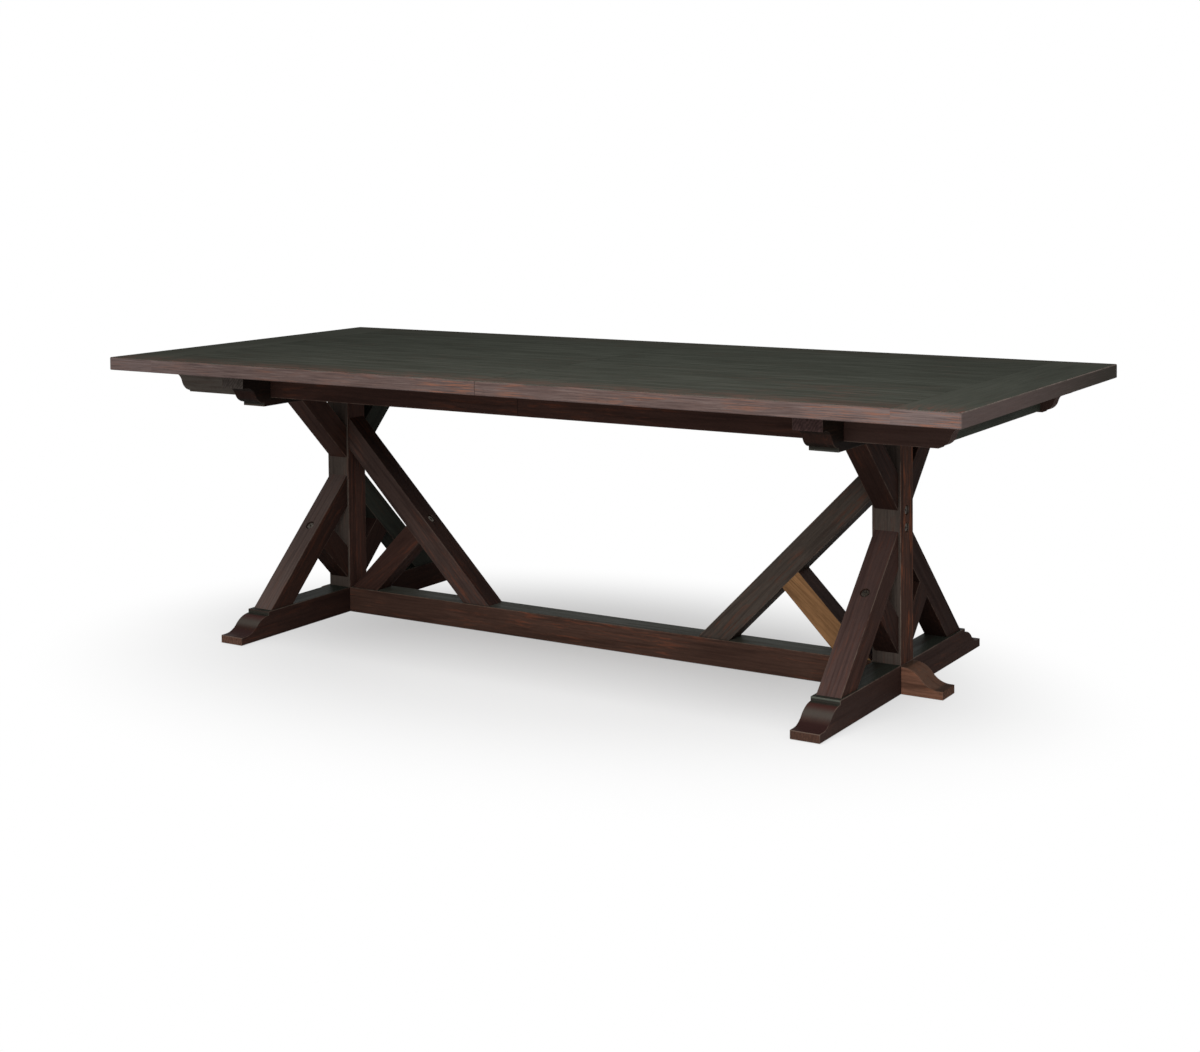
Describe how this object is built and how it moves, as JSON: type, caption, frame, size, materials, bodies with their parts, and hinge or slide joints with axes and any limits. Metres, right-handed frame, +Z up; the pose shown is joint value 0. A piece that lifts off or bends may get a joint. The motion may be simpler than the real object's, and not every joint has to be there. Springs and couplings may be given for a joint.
{
  "type": "extending dining table",
  "caption": "Trestle dining table with a breadboard top in two halves that slide apart evenly to take a leaf.",
  "frame": {"origin": "on the floor under the middle of the closed table", "axes": "+X along the table's length towards its right end, +Y across it away from the front, +Z up"},
  "size_m": [2.489, 1.067, 0.762],
  "materials": {
    "tabletop_wood": "satin charcoal stain over open grain, edges rubbed to brown",
    "frame_wood": "satin espresso stain",
    "plain_wood": "unstained hardwood, waxed",
    "dark_steel": "blackened",
    "zinc_steel": "zinc plated",
    "nylon": "moulded",
    "dark_nylon": "moulded"
  },
  "bodies": {
    "base": {"stretcher": "frame_wood", "cross_foot_left": "frame_wood", "outer_foot_left": "frame_wood", "post_left": "frame_wood", "crossbeam_left": "frame_wood", "lower_brace_left_front": "frame_wood", "upper_brace_left_front": "frame_wood", "side_strut_left_front": "frame_wood", "lower_brace_left_back": "frame_wood", "upper_brace_left_back": "frame_wood", "side_strut_left_back": "frame_wood", "long_brace_left": "frame_wood", "long_strut_left": "frame_wood", "cross_foot_right": "frame_wood", "outer_foot_right": "frame_wood", "post_right": "frame_wood", "crossbeam_right": "frame_wood", "lower_brace_right_front": "frame_wood", "upper_brace_right_front": "frame_wood", "side_strut_right_front": "frame_wood", "lower_brace_right_back": "frame_wood", "upper_brace_right_back": "frame_wood", "side_strut_right_back": "frame_wood", "long_brace_right": "frame_wood", "long_strut_right": "frame_wood", "frame_bolts": "dark_steel", "glides": "dark_nylon", "apron_left_front": "frame_wood", "apron_left_back": "frame_wood", "apron_right_front": "frame_wood", "apron_right_back": "frame_wood", "end_rail_left": "frame_wood", "end_rail_right": "frame_wood", "centre_rail": "plain_wood", "apron_splices": "plain_wood", "corner_blocks": "plain_wood", "runner_screws": "zinc_steel", "pinion_pins": "zinc_steel", "fixed_runner_front": "plain_wood", "fixed_runner_back": "plain_wood"},
    "left_top": {"top_panel_left": "tabletop_wood", "end_board_left": "tabletop_wood", "slide_left_front": "plain_wood", "slide_left_back": "plain_wood", "racks_left": "zinc_steel", "slide_screws_left": "zinc_steel", "seam_pins": "plain_wood", "catch_plates": "zinc_steel"},
    "right_top": {"top_panel_right": "tabletop_wood", "end_board_right": "tabletop_wood", "slide_right_front": "plain_wood", "slide_right_back": "plain_wood", "racks_right": "zinc_steel", "slide_screws_right": "zinc_steel", "catch_keepers": "zinc_steel"},
    "pinion_front": {"pinion_front": "nylon"},
    "catch_lever_front": {"catch_lever_front": "zinc_steel"},
    "pinion_back": {"pinion_back": "nylon"},
    "catch_lever_back": {"catch_lever_back": "zinc_steel"}
  },
  "joints": [
    {"name": "left_half_slide", "type": "slide", "parent": "base", "child": "left_top", "axis": [-1, 0, 0], "range_m": [0, 0.254]},
    {"name": "right_half_slide", "type": "slide", "parent": "base", "child": "right_top", "axis": [1, 0, 0], "range_m": [0, 0.254]},
    {"name": "pinion_front_spin", "type": "hinge", "parent": "base", "child": "pinion_front", "pos_m": [0, -0.2, 0.687], "axis": [0, 0, -1], "range_deg": [0, 560]},
    {"name": "pinion_back_spin", "type": "hinge", "parent": "base", "child": "pinion_back", "pos_m": [0, 0.2, 0.687], "axis": [0, 0, -1], "range_deg": [0, 560]},
    {"name": "catch_front_turn", "type": "hinge", "parent": "left_top", "child": "catch_lever_front", "pos_m": [-0.028, -0.06, 0.7217], "axis": [0, 0, 1], "range_deg": [0, 90]},
    {"name": "catch_back_turn", "type": "hinge", "parent": "left_top", "child": "catch_lever_back", "pos_m": [-0.028, 0.06, 0.7217], "axis": [0, 0, -1], "range_deg": [0, 90]}
  ],
  "couplings": [
    {"joint": "right_half_slide", "follows": "left_half_slide", "ratio": 1},
    {"joint": "pinion_front_spin", "follows": "left_half_slide", "rad_per_m": 38.462},
    {"joint": "pinion_back_spin", "follows": "left_half_slide", "rad_per_m": 38.462}
  ]
}
